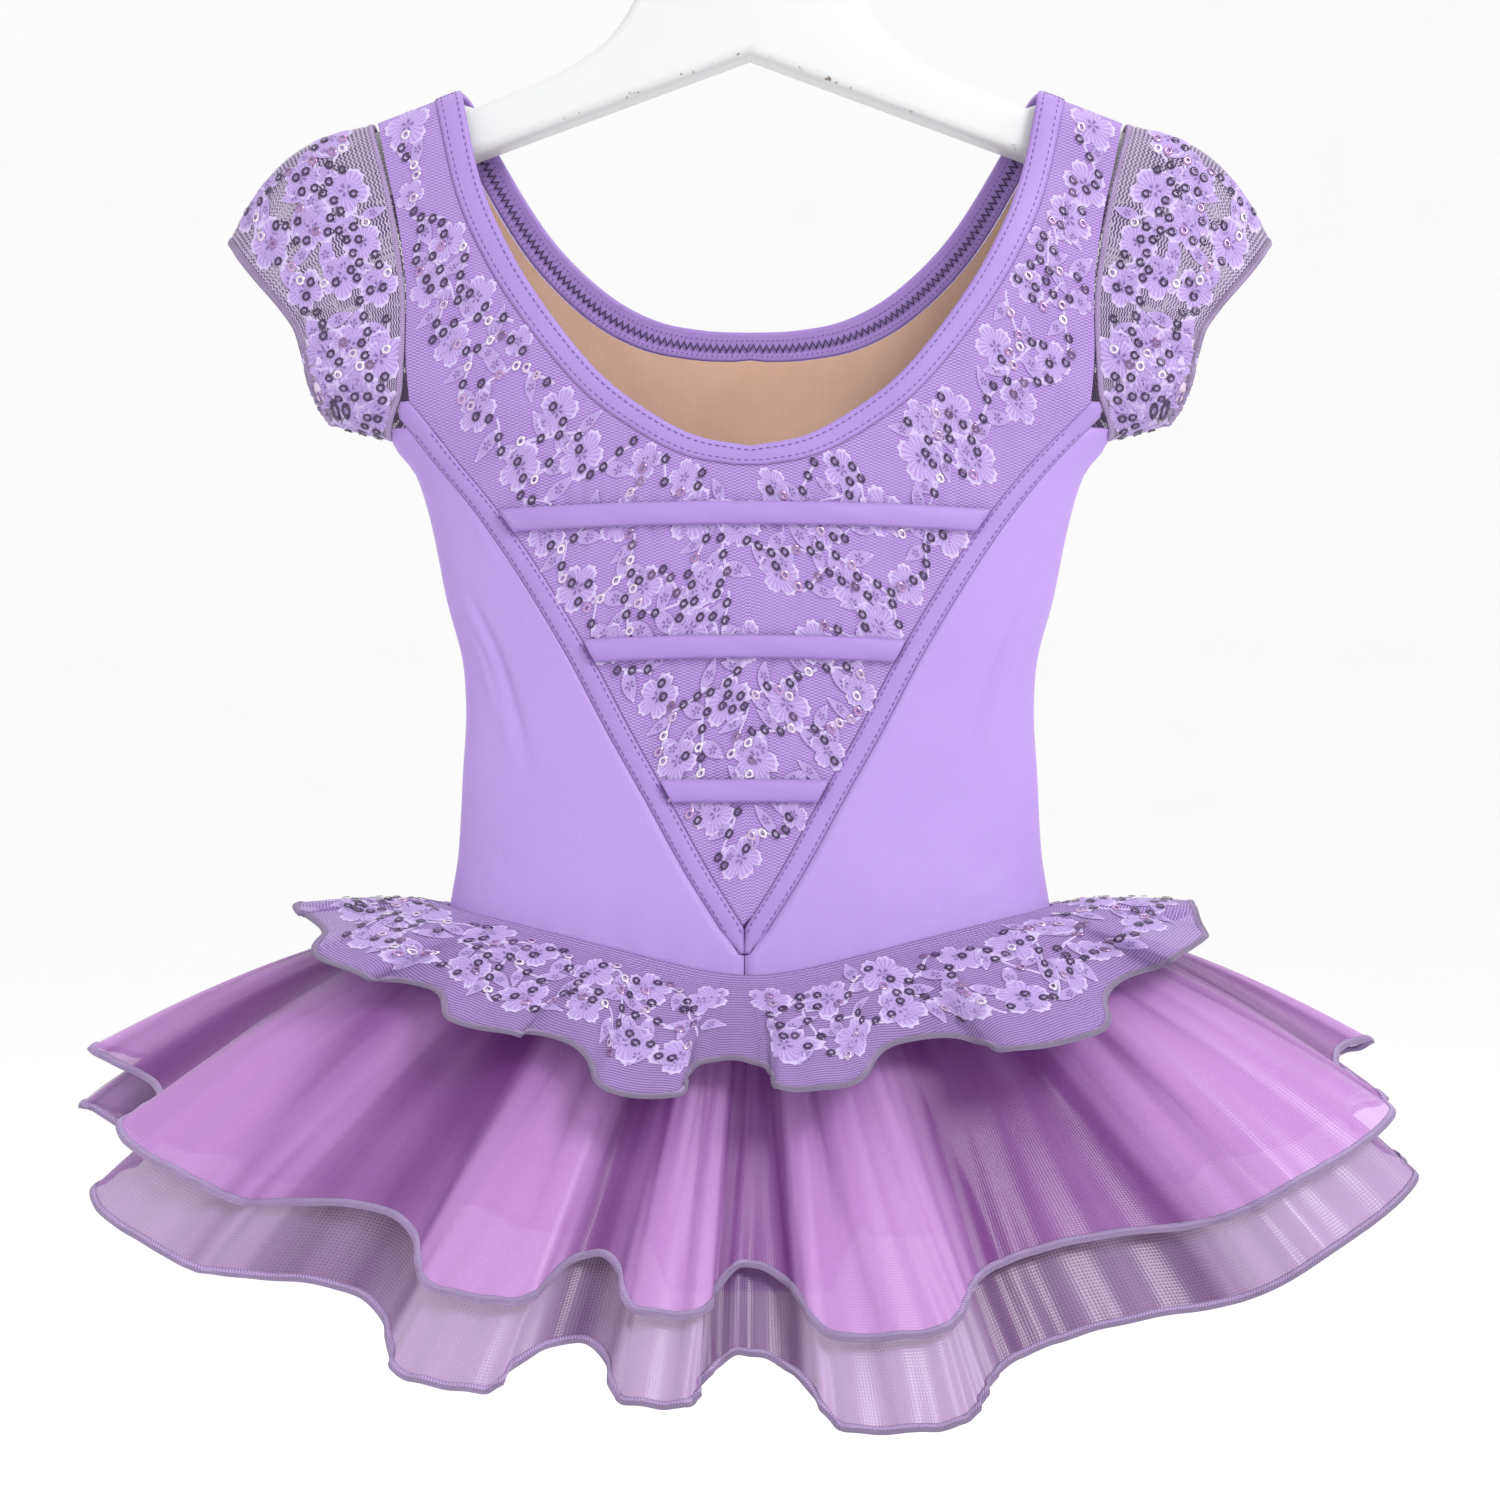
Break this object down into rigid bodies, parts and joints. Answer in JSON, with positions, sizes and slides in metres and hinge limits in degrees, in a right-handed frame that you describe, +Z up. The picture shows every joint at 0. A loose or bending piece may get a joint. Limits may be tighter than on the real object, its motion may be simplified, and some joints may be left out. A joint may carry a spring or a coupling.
{
  "type": "leotard on a hanger",
  "caption": "Child's lavender ballet leotard with a sequinned lace yoke and cap sleeves, cross straps, a lace peplum and a layered organza skirt, hung on a white wooden hanger",
  "frame": {"origin": "inside crest of the hanger's hook, where a rail carries it", "axes": "+X to the viewer's right across the garment, the front faces -Y, +Z up"},
  "size_m": [0.4844, 0.2317, 0.5831],
  "materials": {
    "lavender_knit": "smooth stretch knit with a soft sheen",
    "lavender_binding": "folded stretch knit, topstitched",
    "sequin_lace": "flowered lace on net with sewn sequins",
    "nude_lining": "matt tricot lining",
    "orchid_organza": "sheer crisp organza with an overlocked hem",
    "white_painted_wood": "white satin paint, chipped at the edges",
    "chromed_steel": "polished"
  },
  "bodies": {
    "root": {"front_yoke": "sequin_lace", "front_panel_left": "lavender_knit", "front_panel_right": "lavender_knit", "strip_left": "lavender_binding", "strip_right": "lavender_binding", "strap_upper": "lavender_binding", "strap_middle": "lavender_binding", "strap_lower": "lavender_binding", "neck_binding": "lavender_binding", "back_panel": "lavender_knit", "back_lining": "nude_lining", "sleeve_left": "sequin_lace", "sleeve_right": "sequin_lace", "ruffle": "sequin_lace", "skirt_upper": "orchid_organza", "skirt_lower": "orchid_organza", "hanger_body": "white_painted_wood", "hanger_hook": "chromed_steel"}
  },
  "joints": []
}
